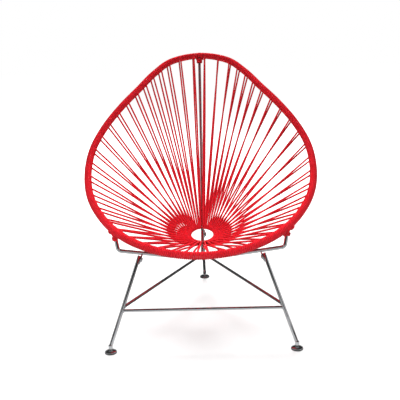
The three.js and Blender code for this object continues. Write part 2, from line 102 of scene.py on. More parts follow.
# Driving dimensions of the tilting glides. An outline is given in shares of (radius, height)
PAD = 0.019
PAD_HEIGHT = 0.004
PAD_HOLLOW = 0.0004
PAD_HOLLOW_SHARE = 0.6
PAD_RECESS_SHARE = 0.42
PAD_SHARES = ((0.68, 0), (0.94, 0), (1, 0.25), (1, 0.8), (0.985, 0.94), (0.97, 1))
CUP = 0.0183
CUP_WALL = 0.0014
DOME_HEIGHT = 0.0048
DOME_SHARES = (
    (0.9, 0),
    (1, 0.04),
    (1, 0.2),
    (0.97, 0.34),
    (0.9, 0.47),
    (0.8, 0.64),
    (0.66, 0.83),
    (0.5, 0.95),
)
MOUTH_RIM_SHARES = (1.6, 0.5)
LIP_SHARE = 0.42
SOCKET_SHARES = ((0.97, 0.2), (1, 0), (0.8, -0.6), (0.3, -0.95))
BALL = 0.0045
BALL_BOTTOM_ANGLE = -1.45
BALL_STEPS = 9
NECK_SHARE = 0.56
NECK_START_SHARE = 1.1
STUD_REACH_SHARE = 0.7

# The rim from the middle of its front to the middle of its top: shares of the half width,
# of the depth and of the rise from front to top
RIM_STATION_SHARES = (
    (0, 0, 0),
    (0.308, 0.011, 0.021),
    (0.579, 0.059, 0.069),
    (0.79, 0.1555, 0.131),
    (0.94, 0.26, 0.228),
    (1, 0.37, 0.342),
    (0.984, 0.472, 0.466),
    (0.891, 0.563, 0.586),
    (0.752, 0.654, 0.7),
    (0.601, 0.752, 0.8),
    (0.462, 0.858, 0.892),
    (0.285, 0.9585, 0.969),
    (0, 1, 1),
)
PAIRS_PER_SIDE = 24
SECTORS_PER_SIDE = 6
PAIRS_PER_SECTOR = PAIRS_PER_SIDE // SECTORS_PER_SIDE
FIRST_PAIR_SHARE = 0.0161
PAIR_CROWDING_SHARE = 0.021
PAIR_SPREAD_SHARE = 0.014
RING_MARGIN_SHARE = 0.036
PAIRS_BEHIND_BAR = 18
BAR_END_SHARE = 0.67

X = Vector((1, 0, 0))
Y = Vector((0, 1, 0))
Z = Vector((0, 0, 1))


def mirrored_x(point):
    return Vector((-point.x, point.y, point.z))


def heading(start, end):
    return (end - start).normalized()


def square_to(vector, axis):
    """The part of a vector that is square to an axis, at unit length."""
    return (vector - axis * vector.dot(axis)).normalized()


def upwards(vector):
    return -vector if vector.z < 0 else vector


# Curves that the rods and the cord follow

DIRECTION_REACH = 0.002
# A direction that no stretch of cord starts along
ASKEW = (0.12, 0.31, 0.94)


def centripetal_curve(points, closed, steps):
    """Points along a smooth curve through the given ones, as an array."""
    points = np.array([tuple(p) for p in points], float)
    count = len(points)
    if closed:
        padded = np.vstack([points[-1], points, points[0], points[1]])
    else:
        padded = np.vstack([2 * points[0] - points[1], points, 2 * points[-1] - points[-2]])
    spans = count if closed else count - 1
    shares = np.linspace(0, 1, steps, endpoint=False)[:, None]
    curve = []
    for i in range(spans):
        before, start, end, after = padded[i : i + 4]
        first, middle, last = (
            math.sqrt(np.linalg.norm(b - a)) for a, b in ((before, start), (start, end), (end, after))
        )
        leaving = (start - before) / first - (end - before) / (first + middle) + (end - start) / middle
        arriving = (end - start) / middle - (after - start) / (middle + last) + (after - end) / last
        leaving, arriving = leaving * middle, arriving * middle
        square = 3 * (end - start) - 2 * leaving - arriving
        cube = 2 * (start - end) + leaving + arriving
        curve.append(start + shares * leaving + shares**2 * square + shares**3 * cube)
    if not closed:
        curve.append(points[-1:])
    return np.vstack(curve)


class Route:
    """A polyline that can be asked for a place or a direction at a distance along it."""

    def __init__(self, points, closed=False):
        self.points = np.vstack([points, points[:1]]) if closed else np.asarray(points)
        steps = np.linalg.norm(np.diff(self.points, axis=0), axis=1)
        self.distances = np.concatenate([[0], np.cumsum(steps)])
        self.length = self.distances[-1]
        self.closed = closed

    def place(self, distance):
        if self.closed:
            distance = distance % self.length
        return Vector([np.interp(distance, self.distances, self.points[:, i]) for i in range(3)])

    def direction(self, distance):
        return heading(self.place(distance - DIRECTION_REACH), self.place(distance + DIRECTION_REACH))


def tube_rings(path, radii, sides):
    """Rings of places round a path, turned as little as can be from one to the next."""
    path = np.asarray([tuple(p) for p in path], float)
    tangents = np.gradient(path, axis=0)
    tangents /= np.linalg.norm(tangents, axis=1)[:, None]
    across = np.cross(tangents[0], ASKEW)
    across /= np.linalg.norm(across)
    normals = np.empty_like(path)
    for i, tangent in enumerate(tangents):
        across = across - tangent * across.dot(tangent)
        across /= np.linalg.norm(across)
        normals[i] = across
    others = np.cross(tangents, normals)
    angles = (np.arange(sides) * 2 * math.pi / sides)[:, None]
    rings = np.cos(angles) * normals[:, None] + np.sin(angles) * others[:, None]
    return path[:, None] + rings * np.asarray(radii)[:, None, None]


def tube(name, path, radii, sides):
    """A round tube as a mesh with its own UV map: round it in U, metres along it in V."""
    rings = tube_rings(path, radii, sides)
    spans = len(rings) - 1
    here = (np.arange(spans) * sides)[:, None]
    there = here + sides
    side = np.arange(sides)[None, :]
    next_side = (side + 1) % sides
    quads = np.stack([here + side, here + next_side, there + next_side, there + side], axis=-1)
    quads = quads.reshape(-1, 4)
    centres = rings.mean(axis=1)
    along = np.concatenate([[0], np.cumsum(np.linalg.norm(np.diff(centres, axis=0), axis=1))])
    left, right = (np.broadcast_to(edge / sides, (spans, sides)) for edge in (side, side + 1))
    low, high = (np.broadcast_to(end[:, None], (spans, sides)) for end in (along[:-1], along[1:]))
    uv = np.stack([left, low, right, low, right, high, left, high], axis=-1).reshape(-1, 2)
    uv = np.vstack([uv, np.zeros((2 * sides, 2))])
    caps = [np.arange(sides)[::-1], spans * sides + np.arange(sides)]
    loops = np.concatenate([quads.ravel(), *caps])
    totals = np.concatenate([np.full(len(quads), 4), [sides, sides]])
    mesh = bpy.data.meshes.new(name)
    mesh.vertices.add(len(rings) * sides)
    mesh.vertices.foreach_set("co", rings.astype(np.float32).ravel())
    mesh.loops.add(len(loops))
    mesh.loops.foreach_set("vertex_index", loops.astype(np.int32))
    mesh.polygons.add(len(totals))
    mesh.polygons.foreach_set("loop_start", (np.cumsum(totals) - totals).astype(np.int32))
    mesh.polygons.foreach_set("loop_total", totals.astype(np.int32))
    mesh.uv_layers.new(name="Along").data.foreach_set("uv", uv.astype(np.float32).ravel())
    mesh.polygons.foreach_set("use_smooth", totals == 4)
    mesh.update(calc_edges=True)
    mesh.validate()
    piece = bpy.data.objects.new(name, mesh)
    bpy.context.scene.collection.objects.link(piece)
    return piece


# Modelling steps that every piece shares


def fresh(name, add, **settings):
    """Adds a primitive with nothing else selected, and names it."""
    bpy.ops.object.select_all(action="DESELECT")
    add(**settings)
    piece = bpy.context.object
    piece.name = piece.data.name = name
    return piece


def take(piece):
    """Selects one piece alone and makes it the active one."""
    bpy.ops.object.select_all(action="DESELECT")
    piece.select_set(True)
    bpy.context.view_layer.objects.active = piece


def settle(piece):
    """Puts the place of a piece into its mesh, so that its object sits at the origin."""
    take(piece)
    bpy.ops.object.transform_apply(location=True, rotation=True, scale=True)


def smooth(piece, degrees=35):
    take(piece)
    bpy.ops.object.shade_smooth_by_angle(angle=math.radians(degrees), keep_sharp_edges=False)


def wear(piece, material, body="root", replaces=()):
    """Gives a finished piece its material and its body, and hides the CAD nodes it stands for."""
    piece.data.materials.clear()
    piece.data.materials.append(material)
    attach(piece, body)
    if replaces:
        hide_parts(*replaces)


def pick_faces(piece, wanted):
    """Selects the faces whose normal passes a test, and leaves the piece in edit mode."""
    take(piece)
    bpy.ops.object.mode_set(mode="EDIT")
    bpy.ops.mesh.select_mode(type="FACE")
    bpy.ops.mesh.select_all(action="DESELECT")
    bpy.ops.object.mode_set(mode="OBJECT")
    for face in piece.data.polygons:
        face.select = wanted(face.normal)
    bpy.ops.object.mode_set(mode="EDIT")


def bevel_sharp(piece, width, segments=2, degrees=50):
    modifier = piece.modifiers.new("edges", "BEVEL")
    modifier.width = width
    modifier.segments = segments
    modifier.limit_method = "ANGLE"
    modifier.angle_limit = math.radians(degrees)
    bpy.context.view_layer.objects.active = piece
    bpy.ops.object.modifier_apply(modifier=modifier.name)


def combine(piece, other, operation):
    """Joins a closed shape to a piece or cuts it out, and removes the shape."""
    modifier = piece.modifiers.new("combine", "BOOLEAN")
    modifier.operation = operation
    modifier.object = other
    modifier.solver = "EXACT"
    bpy.context.view_layer.objects.active = piece
    bpy.ops.object.modifier_apply(modifier=modifier.name)
    bpy.data.objects.remove(other)


def straight_rod(name, start, end, radius, sides=32):
    direction = end - start
    turn = direction.to_track_quat("Z", "Y").to_euler()
    piece = fresh(
        name,
        bpy.ops.mesh.primitive_cylinder_add,
        vertices=sides,
        radius=radius,
        depth=direction.length,
        location=(start + end) / 2,
        rotation=turn,
    )
    settle(piece)
    return piece


def turned(name, centre, profile, sides=48):
    """A piece turned on a lathe: a round face pushed and scaled along a profile of (radius, height)."""
    radius, height = profile[0]
    piece = fresh(
        name,
        bpy.ops.mesh.primitive_circle_add,
        vertices=sides,
        radius=radius,
        fill_type="NGON",
        location=centre + Z * height,
    )
    bpy.ops.object.mode_set(mode="EDIT")
    bpy.ops.mesh.select_mode(type="FACE")
    bpy.ops.mesh.select_all(action="SELECT")
    for next_radius, next_height in profile[1:]:
        bpy.ops.mesh.extrude_region_move(TRANSFORM_OT_translate={"value": (0, 0, next_height - height)})
        share = next_radius / radius
        middle = centre + Z * next_height
        bpy.ops.transform.resize(value=(share, share, 1), center_override=middle)
        radius, height = next_radius, next_height
    bpy.ops.mesh.select_all(action="SELECT")
    bpy.ops.mesh.normals_make_consistent(inside=False)
    bpy.ops.object.mode_set(mode="OBJECT")
    settle(piece)
    return piece


def outline(radius, height, base, shares):
    """Part of a lathe's profile, given in shares of a radius and of a height above a base."""
    return [(radius * out, base + height * up) for out, up in shares]


# Where the seat frame lies

RIM_HALF_WIDTH = 0.385
RIM_DEPTH = 0.913
RIM_FRONT_HEIGHT = 0.310
RIM_TOP_HEIGHT = 0.876
RING_CENTRE_DEPTH = 0.375
RING_CENTRE_HEIGHT = 0.266
SPINE_BOW = 0.038
SPINE_BOW_SHARES = ((0.2, 0.62), (0.5, 1.0), (0.85, 0.8))
SPINE_DIP_SHARE = 0.3
SPINE_DIP_HEIGHT = 0.222
BAR_MIDDLE_HEIGHT = 0.274
FRONT_FOOT_DEPTH = 0.002

ball_centres = {joint["child"].removeprefix("glide_"): Vector(joint["pos_m"]) for joint in frame["joints"]}
FRONT_Y = ball_centres["left"].y - FRONT_FOOT_DEPTH


def at(x, depth, height):
    """A place by its depth behind the front of the rim."""
    return Vector((x, FRONT_Y + depth, height))


rim_rise = RIM_TOP_HEIGHT - RIM_FRONT_HEIGHT
rim_stations = [
    at(x * RIM_HALF_WIDTH, y * RIM_DEPTH, RIM_FRONT_HEIGHT + z * rim_rise) for x, y, z in RIM_STATION_SHARES
]
rim_stations += [mirrored_x(p) for p in rim_stations[-2:0:-1]]
rim = Route(centripetal_curve(rim_stations, closed=True, steps=80), closed=True)
HALF_RIM = rim.length / 2


def rim_place(arc):
    """A place on the rim's middle line, counted from the top, down the sitter's right and round."""
    return rim.place(HALF_RIM + arc)


def rim_direction(arc):
    return rim.direction(HALF_RIM + arc)


ring_centre = at(0, RING_CENTRE_DEPTH, RING_CENTRE_HEIGHT)
ring_back = Vector((0, math.cos(RING_TILT), math.sin(RING_TILT)))
ring_up = X.cross(ring_back)


def ring_out(angle):
    return ring_back * math.cos(angle) - X * math.sin(angle)


def ring_place(angle):
    return ring_centre + ring_out(angle) * RING_RADIUS


# Where each pair of strands leaves the rim and meets the ring
first_pair = FIRST_PAIR_SHARE * HALF_RIM
ring_step = math.pi * (1 - 2 * RING_MARGIN_SHARE) / (PAIRS_PER_SIDE - 1)
half_pairs = []
for k in range(PAIRS_PER_SIDE):
    share = k / (PAIRS_PER_SIDE - 1)
    crowding = PAIR_CROWDING_SHARE * math.sin(math.pi * share)
    spread = PAIR_SPREAD_SHARE * math.sin(2 * math.pi * share)
    arc = first_pair + (share + crowding - spread) * (HALF_RIM - 2 * first_pair)
    half_pairs.append((arc, math.pi * RING_MARGIN_SHARE + k * ring_step))
pairs = half_pairs + [(rim.length - arc, 2 * math.pi - angle) for arc, angle in reversed(half_pairs)]
last_behind_bar, first_before_bar = (half_pairs[k][0] for k in (PAIRS_BEHIND_BAR - 1, PAIRS_BEHIND_BAR))
BAR_END_ARC = last_behind_bar + BAR_END_SHARE * (first_before_bar - last_behind_bar)

# The windings lie turn against turn, a whole number of turns from each pair to the next,
# and the soft cord is squeezed a little narrower there and round the ring than it is in the strands
COIL = WINDING - WOUND_CORD
turns_between = [math.floor((b[0] - a[0]) / (2 * WOUND_CORD)) for a, b in zip(pairs, pairs[1:])]
top_turns = math.floor(2 * first_pair / (2 * WOUND_CORD))
turn_marks = np.cumsum([top_turns / 2, *turns_between])
# Knots between which arcs of the rim, turns and angles round the ring are interpolated
knot_arcs = np.array([0, *(arc for arc, _ in pairs), rim.length])
knot_turns = np.array([0, *turn_marks, turn_marks[-1] + top_turns / 2]) - top_turns / 2
knot_angles = np.array([0, *(angle for _, angle in pairs), 2 * math.pi])


def rim_frame(arc):
    """At a place on the rim: its middle, its direction, the side facing the ring, and up."""
    middle = rim_place(arc)
    direction = rim_direction(arc)
    angle = float(np.interp(arc % rim.length, knot_arcs, knot_angles))
    inner = square_to(ring_place(angle) - middle, direction)
    return middle, direction, inner, direction.cross(inner)


def coil_place(turn):
    """A place on the windings by turns counted from the first pair: whole turns lie on top."""
    arc = float(np.interp(turn, knot_turns, knot_arcs))
    middle, _, inner, up = rim_frame(arc)
    angle = 2 * math.pi * turn
    return middle + (up * math.cos(angle) + inner * math.sin(angle)) * COIL


def rounded(start, corner, end, steps=6):
    """Points of a bend from start to end that would meet in the corner."""
    bend = []
    for i in range(steps + 1):
        t = i / steps
        bend.append(start * (1 - t) ** 2 + corner * 2 * t * (1 - t) + end * t**2)
    return bend


# How the cord bends, slides and narrows, in turns, metres and radians, and how finely it is drawn
STEPS_PER_TURN = 20
RETURN_TURN = 0.5
BEND_TURN = 0.08
BEND_REACH = 0.009
RING_BEND_REACH = 0.005
RING_BEND_ANGLE = 0.5
RING_SLIDE_SHARE = 0.25
RIM_SQUEEZE_REACH = 0.020
RING_SQUEEZE_REACH = 0.010
STRAND_STEPS = 10
LOOP_STEPS = 9
CAD_LOOP_STEPS = 3
LEAST_STEP = 0.0003
RING_COIL = RING_ROD + WOUND_CORD


def coil(start_turn, end_turn):
    count = max(2, round((end_turn - start_turn) * STEPS_PER_TURN))
    return [coil_place(t) for t in np.linspace(start_turn, end_turn, count + 1)]


def strand(start, end, aside):
    """Points between the ends of a strand, which bows aside where its partner passes."""
    shares = [i / STRAND_STEPS for i in range(1, STRAND_STEPS)]
    return [start.lerp(end, share) + aside * (4 * share * (1 - share)) for share in shares]


def pair_path(index):
    """From the top of the rim, under the ring and round it, and back to the underside of the rim.

    The two strands of a pair cross on the way, side by side, a cord's width apart.
    """
    arc, angle = pairs[index]
    turn = knot_turns[index + 1]
    radial = ring_out(angle)
    ring_along = radial.cross(ring_up)
    on_ring = ring_place(angle)
    middle, _, _, up = rim_frame(arc)
    loop_in = square_to(heading(middle, on_ring), ring_along)
    loop_down = -upwards(ring_along.cross(loop_in))
    slide = ring_along * (RING_SLIDE_SHARE * ring_step * RING_RADIUS)

    leaving = middle + up * COIL
    back_arc = float(np.interp(turn + RETURN_TURN, knot_turns, knot_arcs))
    back_middle, _, _, back_up = rim_frame(back_arc)
    returning = back_middle - back_up * COIL
    under = on_ring + loop_down * RING_COIL + slide
    over = on_ring - loop_down * RING_COIL - slide
    inward, outward = heading(leaving, under), heading(over, returning)
    bend = 2 * math.pi * BEND_TURN

    crossing = COIL / (COIL + RING_COIL)
    apart = (back_arc - arc) * (1 - crossing) + 2 * slide.length * crossing
    aside = ring_along * max(0.0, CORD - apart / 2)

    corner = leaving - inward * COIL * math.tan(bend / 2)
    path = rounded(coil_place(turn - BEND_TURN), corner, leaving + inward * BEND_REACH)
    path += strand(path[-1], under - inward * RING_BEND_REACH, aside)
    loop = []
    for i in range(LOOP_STEPS + 1):
        sweep = RING_BEND_ANGLE + (math.pi - 2 * RING_BEND_ANGLE) * i / LOOP_STEPS
        place = on_ring + (loop_down * math.cos(sweep) + loop_in * math.sin(sweep)) * RING_COIL
        loop.append(place + slide * (1 - 2 * sweep / math.pi))
    corner_reach = RING_COIL * math.tan(RING_BEND_ANGLE / 2)
    path += rounded(under - inward * RING_BEND_REACH, under + loop_in * corner_reach, loop[0], steps=4)
    path += loop[1:-1]
    path += rounded(loop[-1], over + loop_in * corner_reach, over + outward * RING_BEND_REACH, steps=4)
    path += strand(path[-1], returning - outward * BEND_REACH, -aside)
    arrival = returning + outward * COIL * math.tan(bend / 2)
    path += rounded(returning - outward * BEND_REACH, arrival, coil_place(turn + RETURN_TURN + BEND_TURN))
    return path


def cord_radius(place, ends):
    """A strand is full between its ends on the rim and the ring, where turns crowd and squeeze it."""
    from_rim = min((place - end).length for end in ends) / RIM_SQUEEZE_REACH
    from_ring = ((place - ring_centre).length - RING_RADIUS) / RING_SQUEEZE_REACH
    wound = WOUND_CORD + (CORD - WOUND_CORD) * min(from_rim, 1)
    looped = RING_CORD + (CORD - RING_CORD) * min(max(from_ring, 0), 1)
    return min(wound, looped)


def sector_bounds():
    """Turns at which each sector of the left side and then of the right side begins and ends."""
    firsts = range(PAIRS_PER_SECTOR, len(pairs), PAIRS_PER_SECTOR)
    arcs = [0, *((pairs[i - 1][0] + pairs[i][0]) / 2 for i in firsts), rim.length]
    return [float(np.interp(arc, knot_arcs, knot_turns)) for arc in arcs]


def wind_sector(name, node_name, first, start, end):
    """One stretch of the cord: its windings, and the pairs of strands that leave between them."""
    route = []
    turn = start
    for index in range(first, first + PAIRS_PER_SECTOR):
        leave = knot_turns[index + 1] - BEND_TURN
        route += [(place, WOUND_CORD) for place in coil(turn, leave)[:-1]]
        strands = pair_path(index)
        ends = strands[0], strands[-1]
        route += [(place, cord_radius(place, ends)) for place in strands]
        turn = knot_turns[index + 1] + RETURN_TURN + BEND_TURN
    route += [(place, WOUND_CORD) for place in coil(turn, end)[1:]]
    wear(cord_piece(name, route), RED, replaces=[node_name])


def cord_piece(name, route, sides=10):
    """A cord along a route of (place, radius), without the places that repeat."""
    kept = [route[0]]
    for place, radius in route[1:]:
        if (place - kept[-1][0]).length > LEAST_STEP:
            kept.append((place, radius))
    places, radii = zip(*kept)
    return tube(name, places, radii, sides)


# Materials


def shader(name, color, metallic, roughness):
    material = bpy.data.materials.new(name)
    material.use_nodes = True
    material.diffuse_color = (*color, 1)
    surface = material.node_tree.nodes["Principled BSDF"]
    surface.inputs["Base Color"].default_value = (*color, 1)
    surface.inputs["Metallic"].default_value = metallic
    surface.inputs["Roughness"].default_value = roughness
    return material, material.node_tree, surface


def node(tree, kind, **sockets):
    made = tree.nodes.new(kind)
    for socket, value in sockets.items():
        made.inputs[socket.replace("_", " ")].default_value = value
    return made


def spread(tree, source, low, high, target):
    """Feeds a 0 to 1 value into a socket, stretched from low to high."""
    ranger = node(tree, "ShaderNodeMapRange", To_Min=low, To_Max=high)
    tree.links.new(source, ranger.inputs["Value"])
    tree.links.new(ranger.outputs["Result"], target)


def noise(tree, scale, detail, vector=None):
    made = node(tree, "ShaderNodeTexNoise", Scale=scale, Detail=detail)
    if vector is None:
        vector = tree.nodes.new("ShaderNodeTexCoord").outputs["Object"]
    tree.links.new(vector, made.inputs["Vector"])
    return made.outputs["Fac"]


def bump(tree, height, distance, strength, surface):
    made = node(tree, "ShaderNodeBump", Distance=distance, Strength=strength)
    tree.links.new(height, made.inputs["Height"])
    tree.links.new(made.outputs["Normal"], surface.inputs["Normal"])


CHROME_COLOR = (0.74, 0.75, 0.77)
CORD_COLOR = (0.80, 0.022, 0.036)
CORD_SHADE_COLOR = (0.60, 0.010, 0.018)
PAD_COLOR = (0.016, 0.017, 0.018)
# The colour sockets of a Mix node, which share their names with its other sockets
MIX_LOW, MIX_HIGH, MIX_RESULT = 6, 7, 2


def polished_chrome():
    """Bright plating over drawn rod: faint waves and a little haze in patches."""
    material, tree, surface = shader("polished_chrome", CHROME_COLOR, metallic=1.0, roughness=0.08)
    haze = noise(tree, scale=24, detail=3)
    spread(tree, haze, low=0.02, high=0.07, target=surface.inputs["Roughness"])
    bump(tree, noise(tree, scale=180, detail=2), distance=0.0001, strength=0.08, surface=surface)
    return material


def plated_weld():
    """Chrome over a weld bead: the ripples of the bead show through the plating."""
    material, tree, surface = shader("plated_weld", CHROME_COLOR, metallic=1.0, roughness=0.2)
    haze = noise(tree, scale=300, detail=3)
    spread(tree, haze, low=0.14, high=0.3, target=surface.inputs["Roughness"])
    bump(tree, noise(tree, scale=900, detail=3), distance=0.0006, strength=0.5, surface=surface)
    return material


def red_cord():
    """Extruded vinyl cord: a soft gloss, faint lines along it and patches a shade deeper."""
    material, tree, surface = shader("red_vinyl_cord", CORD_COLOR, metallic=0.0, roughness=0.34)
    surface.inputs["Specular IOR Level"].default_value = 0.22
    surface.inputs["Subsurface Weight"].default_value = 0.12
    surface.inputs["Subsurface Radius"].default_value = (0.004, 0.0008, 0.0006)
    surface.inputs["Subsurface Scale"].default_value = 1.0
    uv = tree.nodes.new("ShaderNodeUVMap")
    uv.uv_map = "Along"
    lines = node(tree, "ShaderNodeMapping")
    lines.inputs["Scale"].default_value = (14, 8, 1)
    tree.links.new(uv.outputs["UV"], lines.inputs["Vector"])
    drawn = noise(tree, scale=1, detail=4, vector=lines.outputs["Vector"])
    patches = noise(tree, scale=30, detail=2)
    tint = node(tree, "ShaderNodeMix")
    tint.data_type = "RGBA"
    tint.inputs[MIX_LOW].default_value = (*CORD_SHADE_COLOR, 1)
    tint.inputs[MIX_HIGH].default_value = (*CORD_COLOR, 1)
    spread(tree, patches, low=0.35, high=1.0, target=tint.inputs["Factor"])
    tree.links.new(tint.outputs[MIX_RESULT], surface.inputs["Base Color"])
    spread(tree, drawn, low=0.26, high=0.44, target=surface.inputs["Roughness"])
    bump(tree, drawn, distance=0.0003, strength=0.35, surface=surface)
    return material


def black_pad():
    """Moulded black rubber: a fine grain, duller and glossier in patches."""
    material, tree, surface = shader("moulded_black_pad", PAD_COLOR, metallic=0.0, roughness=0.55)
    scuffs = noise(tree, scale=60, detail=4)
    spread(tree, scuffs, low=0.45, high=0.7, target=surface.inputs["Roughness"])
    bump(tree, noise(tree, scale=2200, detail=2), distance=0.0002, strength=0.3, surface=surface)
    return material


CHROME = polished_chrome()
WELD = plated_weld()
RED = red_cord()
BLACK = black_pad()


# The wound cord

bounds = sector_bounds()
for sector in range(2 * SECTORS_PER_SIDE):
    on_left = sector < SECTORS_PER_SIDE
    number = sector + 1 if on_left else 2 * SECTORS_PER_SIDE - sector
    side_name = "left" if on_left else "right"
    wind_sector(
        f"wound_cord_{side_name}_{number}",
        f"seat_cord_{side_name}_{number}",
        sector * PAIRS_PER_SECTOR,
        bounds[sector],
        bounds[sector + 1],
    )


# The bent rods of the seat frame

LEAST_BEND = 1e-5
SPINE_STEPS = 72
SPINE_PLACES = 1600


def bent_rod(name, route, radius, bend_axis, sides=24):
    """A rod bent in one plane: a round face pushed from point to point and turned about the bend axis."""
    stretches = [heading(a, b) for a, b in zip(route, route[1:])]
    aims = [stretches[0]]
    aims += [(a + b).normalized() for a, b in zip(stretches, stretches[1:])]
    aims.append(stretches[-1])
    axis = {"X": X, "Y": Y}[bend_axis]
    piece = fresh(
        name,
        bpy.ops.mesh.primitive_circle_add,
        vertices=sides,
        radius=radius,
        fill_type="NGON",
        location=route[0],
        rotation=aims[0].to_track_quat("Z", "Y").to_euler(),
    )
    bpy.ops.object.mode_set(mode="EDIT")
    bpy.ops.mesh.select_mode(type="FACE")
    bpy.ops.mesh.select_all(action="SELECT")
    for i in range(1, len(route)):
        bpy.ops.mesh.extrude_region_move(TRANSFORM_OT_translate={"value": route[i] - route[i - 1]})
        bend = math.atan2(aims[i - 1].cross(aims[i]).dot(axis), aims[i - 1].dot(aims[i]))
        if abs(bend) > LEAST_BEND:
            bpy.ops.transform.rotate(
                value=-bend, orient_axis=bend_axis, orient_type="GLOBAL", center_override=route[i]
            )
    bpy.ops.mesh.select_all(action="SELECT")
    bpy.ops.mesh.normals_make_consistent(inside=False)
    bpy.ops.object.mode_set(mode="OBJECT")
    settle(piece)
    smooth(piece)
    return piece


def bent_route(corners, bend_radius, steps=8):
    """A route through corner points with each corner rounded."""
    route = [corners[0]]
    for before, corner, after in zip(corners, corners[1:], corners[2:]):
        inward, outward = heading(corner, before), heading(corner, after)
        setback = bend_radius / math.tan(inward.angle(outward) / 2)
        route += rounded(corner + inward * setback, corner, corner + outward * setback, steps)
    route.append(corners[-1])
    return route


loop_step = math.pi / CAD_LOOP_STEPS
loop_reach = (RING_ROD + CLEARANCE + SOLID_CORD) / math.cos(loop_step / 2)
ring_to_spine = loop_reach + 2 * SOLID_CORD + CLEARANCE + SPINE
rim_top = rim_place(0)
ring_rear, ring_front = ring_place(0), ring_place(math.pi)
spine_rear = ring_rear - ring_up * ring_to_spine
spine_front = ring_front - ring_up * ring_to_spine
back_out = X.cross(heading(rim_top, ring_rear)).normalized()
bar_end = rim_place(rim.length - BAR_END_ARC)
bar_middle = Vector((0, bar_end.y, BAR_MIDDLE_HEIGHT))
dip_y = ring_front.y + SPINE_DIP_SHARE * (bar_end.y - ring_front.y)
spine_dip = Vector((0, dip_y, SPINE_DIP_HEIGHT))
spine_points = [rim_top]
spine_points += [
    rim_top.lerp(ring_rear, place) + back_out * (SPINE_BOW * bow) for place, bow in SPINE_BOW_SHARES
]
spine_points += [spine_rear, spine_front, spine_dip, bar_middle]
spine_curve = Route(centripetal_curve(spine_points, closed=False, steps=60))
TOUCH = RIM_ROD + CLEARANCE


def spine():
    start, end = TOUCH, spine_curve.length - BAR - CLEARANCE
    route = [spine_curve.place(start + (end - start) * i / SPINE_STEPS) for i in range(SPINE_STEPS + 1)]
    wear(bent_rod("chromed_spine", route, SPINE, "X"), CHROME, replaces=["spine_rod"])
    for place, foot in (("rear", spine_rear), ("front", spine_front)):
        top = foot + ring_up * (ring_to_spine - RING_ROD)
        post = straight_rod(f"ring_post_{place}", foot, top, RING_POST, sides=20)
        wear(post, CHROME)
        weld_bead(f"weld_ring_post_{place}", foot + ring_up * SPINE, ring_up, RING_POST)


def weld_bead(name, place, axis, radius):
    """A bead laid round the end of a rod: a thin ring, its skin shaken into the ripples of a weld."""
    piece = fresh(
        name,
        bpy.ops.mesh.primitive_torus_add,
        major_radius=radius + WELD_BEAD / 2,
        minor_radius=WELD_BEAD,
        major_segments=40,
        minor_segments=10,
        location=place,
        rotation=axis.to_track_quat("Z", "Y").to_euler(),
    )
    bpy.ops.object.mode_set(mode="EDIT")
    bpy.ops.mesh.select_all(action="SELECT")
    bpy.ops.transform.vertex_random(offset=WELD_BEAD / 6, uniform=0.2, normal=0.8, seed=7)
    bpy.ops.object.mode_set(mode="OBJECT")
    settle(piece)
    bpy.ops.object.shade_smooth()
    wear(piece, WELD)


bar_corner = Vector((BAR_CORNER_X, bar_end.y, BAR_MIDDLE_HEIGHT + BAR_CORNER_RISE))
bar_flat = Vector((BAR_FLAT_HALF, bar_end.y, BAR_MIDDLE_HEIGHT))
bar_up = heading(bar_corner, bar_end)


def cross_bar():
    half = [bar_flat, bar_corner, bar_end - bar_up * TOUCH]
    corners = [mirrored_x(p) for p in reversed(half)] + half
    route = bent_route(corners, BAR_BEND_RADIUS)
    wear(bent_rod("chromed_cross_bar", route, BAR, "Y"), CHROME, replaces=["cross_bar"])


# The base

REAR_LEG_UP = Vector((0, -math.sin(REAR_LEG_SLOPE), math.cos(REAR_LEG_SLOPE)))
BOSS_MIDDLE = BOSS_BOTTOM + BOSS_HEIGHT / 2
UPPER_HALF_NORMAL = -0.01
DOUBLES_REACH = 1e-5


def lay(piece, along, across, facing, origin):
    """Puts a piece modelled at the origin along X, Y and Z where its own three directions belong."""
    piece.matrix_world = Matrix.Translation(origin) @ Matrix((along, across, facing)).transposed().to_4x4()
    settle(piece)


def leg(name, node_name, top, foot):
    """A straight rod with an eased top, run into the upright boss that takes the glide's stud."""
    rod = straight_rod(name, foot, top, LEG)
    bevel_sharp(rod, LEG * LEG_EASE_SHARE)
    ease = BOSS * BOSS_EASE_SHARE
    profile = [
        (BOSS - ease, 0),
        (BOSS, ease),
        (BOSS, BOSS_HEIGHT - ease),
        (BOSS - ease, BOSS_HEIGHT),
        (BOSS * BOSS_CAP_SHARE, BOSS_HEIGHT + ease / 2),
    ]
    boss = turned("boss", Vector((foot.x, foot.y, BOSS_BOTTOM)), profile)
    combine(rod, boss, "UNION")
    smooth(rod)
    wear(rod, CHROME, replaces=[node_name])


def tab(name, node_name, base, down, facing, start=0.0):
    """A welded plate with a round lower end: a disc whose upper half is drawn out and squared off."""
    half = TAB_WIDTH / 2
    straight = TAB_LENGTH - half
    plate = fresh(
        name,
        bpy.ops.mesh.primitive_cylinder_add,
        vertices=40,
        radius=half,
        depth=TAB_THICKNESS,
        location=(straight, 0, TAB_THICKNESS / 2),
    )
    settle(plate)
    pick_faces(plate, lambda normal: normal.x < UPPER_HALF_NORMAL)
    bpy.ops.mesh.extrude_region_move(TRANSFORM_OT_translate={"value": (start - straight, 0, 0)})
    bpy.ops.transform.resize(value=(0, 1, 1), center_override=(start, 0, 0))
    bpy.ops.mesh.select_all(action="SELECT")
    bpy.ops.mesh.remove_doubles(threshold=DOUBLES_REACH)
    bpy.ops.mesh.dissolve_limited(angle_limit=math.radians(1))
    bpy.ops.mesh.normals_make_consistent(inside=False)
    bpy.ops.object.mode_set(mode="OBJECT")
    bevel_sharp(plate, TAB_THICKNESS * TAB_EASE_SHARE)
    lay(plate, down, facing.cross(down), facing, base)
    smooth(plate)
    wear(plate, CHROME, replaces=[node_name])


